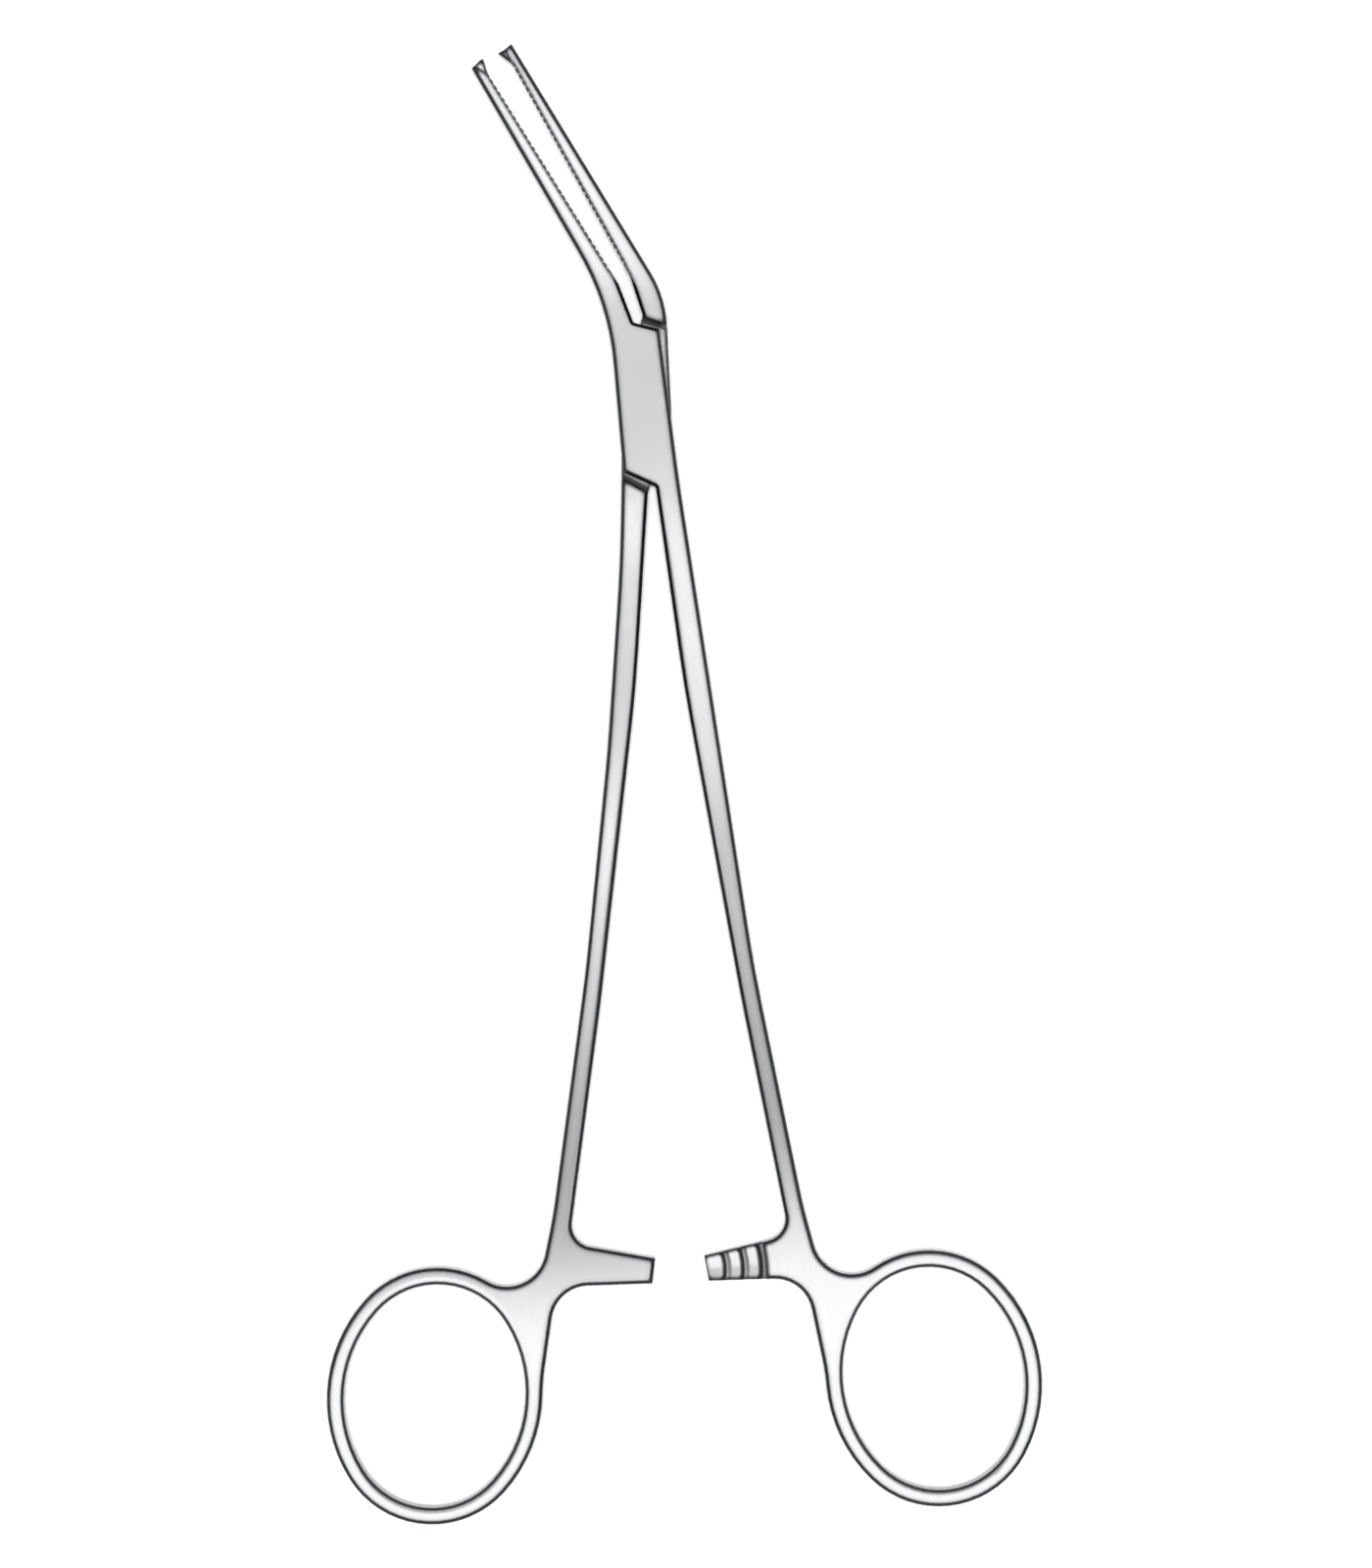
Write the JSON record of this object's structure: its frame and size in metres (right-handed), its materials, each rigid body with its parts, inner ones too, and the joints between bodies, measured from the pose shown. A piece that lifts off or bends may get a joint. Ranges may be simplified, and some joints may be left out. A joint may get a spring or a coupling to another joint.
{
  "type": "haemostatic forceps",
  "caption": "Curved locking haemostatic forceps with a box joint, toothed jaw tips, finger rings and a ratchet between the handles.",
  "frame": {"origin": "centre of the lock pin on the flat underside of the box", "axes": "+Y from the pin towards the jaws, along the line midway between the handles; +X towards the right-hand finger ring seen from the front; +Z out of the front face, up from the surface it lies on"},
  "size_m": [0.0894, 0.1845, 0.006],
  "materials": {
    "limb_steel": "satin",
    "pin_steel": "satin, ground flush with the cheeks"
  },
  "bodies": {
    "box_half": {"box_limb": "limb_steel", "lock_pin": "pin_steel"},
    "tongue_half": {"tongue_limb": "limb_steel"}
  },
  "joints": [
    {"name": "box_lock", "type": "hinge", "parent": "box_half", "child": "tongue_half", "pos_m": [0, 0, 0.003], "axis": [0, 0, -1], "range_deg": [-3.9, 41.1]}
  ]
}
